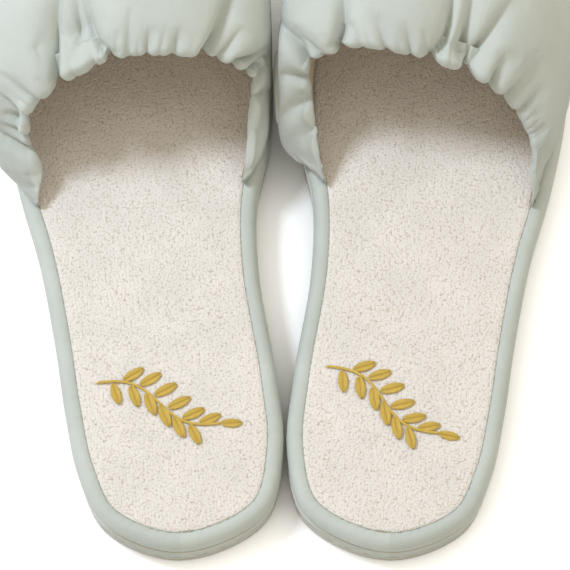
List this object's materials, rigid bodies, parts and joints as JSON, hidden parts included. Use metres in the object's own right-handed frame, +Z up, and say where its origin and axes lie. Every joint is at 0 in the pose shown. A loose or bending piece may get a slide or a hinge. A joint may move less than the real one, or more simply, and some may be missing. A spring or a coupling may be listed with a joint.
{
  "type": "pair of spa slippers",
  "caption": "Backless room slippers with gathered satin uppers, terry insoles, layered cushioned soles and an embroidered sprig at each heel.",
  "frame": {"origin": "on the floor, under the middle of the box that holds both slippers", "axes": "+Z up; +Y from the heels to the toes; +X to the right slipper as the wearer stands in them"},
  "size_m": [0.2042, 0.2592, 0.0724],
  "materials": {
    "satin": "woven satin, soft sheen",
    "terry": "looped terry pile",
    "lining": "plain woven lining",
    "padding": "polyester wadding",
    "elastic": "woven elastic tape",
    "foam": "closed-cell foam",
    "board": "pressed fibre board",
    "piping": "folded satin piping",
    "outsole": "matt moulded, fine dimples",
    "thread": "sewing thread",
    "gold_thread": "lustrous embroidery thread"
  },
  "bodies": {
    "left_forefoot": {"left_outsole_front": "outsole", "left_platform_front": "foam", "left_platform_cover_front": "satin", "left_welt_front": "piping", "left_insole_board_front": "board", "left_cushion_front": "foam", "left_border_front": "satin", "left_terry_front": "terry", "left_upper_outer": "satin", "left_upper_padding": "padding", "left_upper_lining": "lining", "left_throat_elastic": "elastic", "left_upper_stitch": "thread"},
    "left_heel": {"left_outsole_heel": "outsole", "left_platform_heel": "foam", "left_platform_cover_heel": "satin", "left_welt_heel": "piping", "left_insole_board_heel": "board", "left_cushion_heel": "foam", "left_border_heel": "satin", "left_terry_heel": "terry", "left_border_stitch": "thread", "left_heel_embroidery": "gold_thread"},
    "right_forefoot": {"right_outsole_front": "outsole", "right_platform_front": "foam", "right_platform_cover_front": "satin", "right_welt_front": "piping", "right_insole_board_front": "board", "right_cushion_front": "foam", "right_border_front": "satin", "right_terry_front": "terry", "right_upper_outer": "satin", "right_upper_padding": "padding", "right_upper_lining": "lining", "right_throat_elastic": "elastic", "right_upper_stitch": "thread"},
    "right_heel": {"right_outsole_heel": "outsole", "right_platform_heel": "foam", "right_platform_cover_heel": "satin", "right_welt_heel": "piping", "right_insole_board_heel": "board", "right_cushion_heel": "foam", "right_border_heel": "satin", "right_terry_heel": "terry", "right_border_stitch": "thread", "right_heel_embroidery": "gold_thread"}
  },
  "joints": [
    {"name": "left_sole_flex", "type": "hinge", "parent": "left_forefoot", "child": "left_heel", "pos_m": [-0.04612, -0.00908, 0.0153], "axis": [-0.9925, -0.1219, 0], "range_deg": [0, 35], "stiffness_Nm_per_rad": 0.6},
    {"name": "right_sole_flex", "type": "hinge", "parent": "right_forefoot", "child": "right_heel", "pos_m": [0.04612, -0.00908, 0.0153], "axis": [-0.9925, 0.1219, 0], "range_deg": [0, 35], "stiffness_Nm_per_rad": 0.6},
    {"name": "right_slipper_lift", "type": "slide", "parent": "left_forefoot", "child": "right_forefoot", "axis": [0, 0, 1], "range_m": [0, 0.15]}
  ]
}
